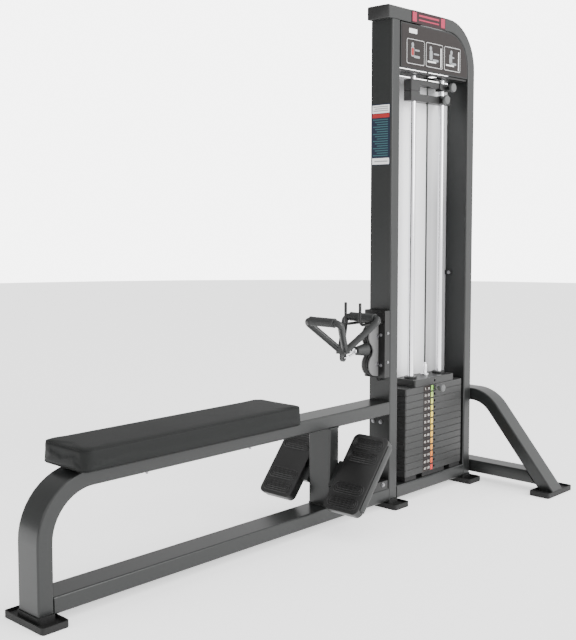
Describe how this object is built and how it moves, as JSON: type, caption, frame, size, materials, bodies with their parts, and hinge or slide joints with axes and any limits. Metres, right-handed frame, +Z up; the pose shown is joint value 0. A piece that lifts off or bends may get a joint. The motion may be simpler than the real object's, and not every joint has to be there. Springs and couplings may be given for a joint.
{
  "type": "seated cable row",
  "caption": "Seated cable row with a long padded bench, angled foot plates, a V handle on a cable and a pin-selected weight stack in a tall arched tower.",
  "frame": {"origin": "middle of the footprint, on the floor", "axes": "+X from the bench's free end towards the tower, +Y to the left of a person seated facing the tower, +Z up"},
  "size_m": [2.257, 0.877, 1.876],
  "materials": {
    "frame_paint": "satin dark grey powder coat",
    "black_steel": "matt black paint",
    "plate_steel": "grey enamel",
    "cheek_steel": "light grey paint",
    "chrome": "polished",
    "foot_rubber": "moulded black rubber",
    "seat_vinyl": "dark leather-look upholstery",
    "pulley_nylon": "black moulded",
    "cable_jacket": "black plastic jacket over steel cable",
    "knob_plastic": "black moulded",
    "board": "dark brown printed board",
    "guard_sheet": "white sheet"
  },
  "bodies": {
    "frame": {"bench_tube": "frame_paint", "lower_rail": "frame_paint", "base_beam": "frame_paint", "middle_post": "frame_paint", "front_upright": "frame_paint", "top_arch": "frame_paint", "stabiliser_arch": "frame_paint", "stabiliser_cross": "frame_paint", "foot_bracket_left": "frame_paint", "foot_bracket_right": "frame_paint", "foot_pad_bench": "foot_rubber", "foot_pad_front": "foot_rubber", "foot_pad_rear": "foot_rubber", "foot_pad_left": "foot_rubber", "foot_pad_right": "foot_rubber", "foot_plate_left": "foot_rubber", "foot_plate_right": "foot_rubber", "stack_bumper": "foot_rubber", "seat_pad": "seat_vinyl", "pulley_mount": "black_steel", "rod_bracket": "black_steel", "top_pulley_bracket": "black_steel", "pulley_cheeks": "cheek_steel", "cable_route": "cable_jacket", "cable_pull": "cable_jacket", "guide_rod_front": "chrome", "guide_rod_rear": "chrome", "weight_plate_02": "plate_steel", "weight_plate_03": "plate_steel", "weight_plate_04": "plate_steel", "weight_plate_05": "plate_steel", "weight_plate_06": "plate_steel", "weight_plate_07": "plate_steel", "weight_plate_08": "plate_steel", "weight_plate_09": "plate_steel", "weight_plate_10": "plate_steel", "weight_plate_11": "plate_steel", "weight_plate_12": "plate_steel", "weight_plate_13": "plate_steel", "addon_weight_upper": "plate_steel", "placard": "board", "rear_guard": "guard_sheet"},
    "lifted_stack": {"head_plate": "plate_steel", "selector_rod": "chrome", "weight_plate_01": "plate_steel", "cable_lift": "cable_jacket"},
    "pin": {"selector_pin": "knob_plastic"},
    "handle": {"handle_frame": "black_steel", "grip_user": "foot_rubber", "grip_tower": "foot_rubber", "snap_hook": "chrome", "cable_eye": "chrome", "cable_stop": "foot_rubber"},
    "upper_guide_pulley": {"guide_pulley_upper": "pulley_nylon"},
    "lower_guide_pulley": {"guide_pulley_lower": "pulley_nylon"},
    "front_top_pulley": {"top_pulley_front": "pulley_nylon"},
    "rear_top_pulley": {"top_pulley_rear": "pulley_nylon"},
    "lower_addon": {"addon_weight_lower": "plate_steel"},
    "lower_addon_knob": {"addon_knob_lower": "knob_plastic"},
    "upper_addon_knob": {"addon_knob_upper": "knob_plastic"}
  },
  "joints": [
    {"name": "stack_lift", "type": "slide", "parent": "frame", "child": "lifted_stack", "axis": [0, 0, 1], "range_m": [0, 0.55], "deforming": ["cable_lift"]},
    {"name": "handle_pull", "type": "slide", "parent": "frame", "child": "handle", "axis": [-0.5, 0, 0.866], "range_m": [0, 0.6]},
    {"name": "upper_guide_turn", "type": "hinge", "parent": "frame", "child": "upper_guide_pulley", "pos_m": [0.3865, 0, 0.654], "axis": [0, -1, 0], "continuous": true},
    {"name": "lower_guide_turn", "type": "hinge", "parent": "frame", "child": "lower_guide_pulley", "pos_m": [0.3865, 0, 0.551], "axis": [0, -1, 0], "continuous": true},
    {"name": "front_top_turn", "type": "hinge", "parent": "frame", "child": "front_top_pulley", "pos_m": [0.4925, 0, 1.735], "axis": [0, -1, 0], "continuous": true},
    {"name": "rear_top_turn", "type": "hinge", "parent": "frame", "child": "rear_top_pulley", "pos_m": [0.6595, 0, 1.735], "axis": [0, -1, 0], "continuous": true},
    {"name": "pin_pull", "type": "slide", "parent": "lifted_stack", "child": "pin", "axis": [0, -1, 0], "range_m": [0, 0.05]},
    {"name": "addon_drop", "type": "slide", "parent": "frame", "child": "lower_addon", "axis": [0, 0, -1], "range_m": [0, 0.1]},
    {"name": "lower_knob_pull", "type": "slide", "parent": "lower_addon", "child": "lower_addon_knob", "axis": [0, -1, 0], "range_m": [0, 0.008], "stiffness_N_per_m": 400},
    {"name": "upper_knob_pull", "type": "slide", "parent": "frame", "child": "upper_addon_knob", "axis": [0, -1, 0], "range_m": [0, 0.008], "stiffness_N_per_m": 400}
  ],
  "couplings": [
    {"joint": "handle_pull", "follows": "stack_lift", "ratio": 1.0909},
    {"joint": "upper_guide_turn", "follows": "stack_lift", "rad_per_m": -21.739},
    {"joint": "front_top_turn", "follows": "stack_lift", "rad_per_m": 16.667},
    {"joint": "rear_top_turn", "follows": "stack_lift", "rad_per_m": 16.667}
  ]
}
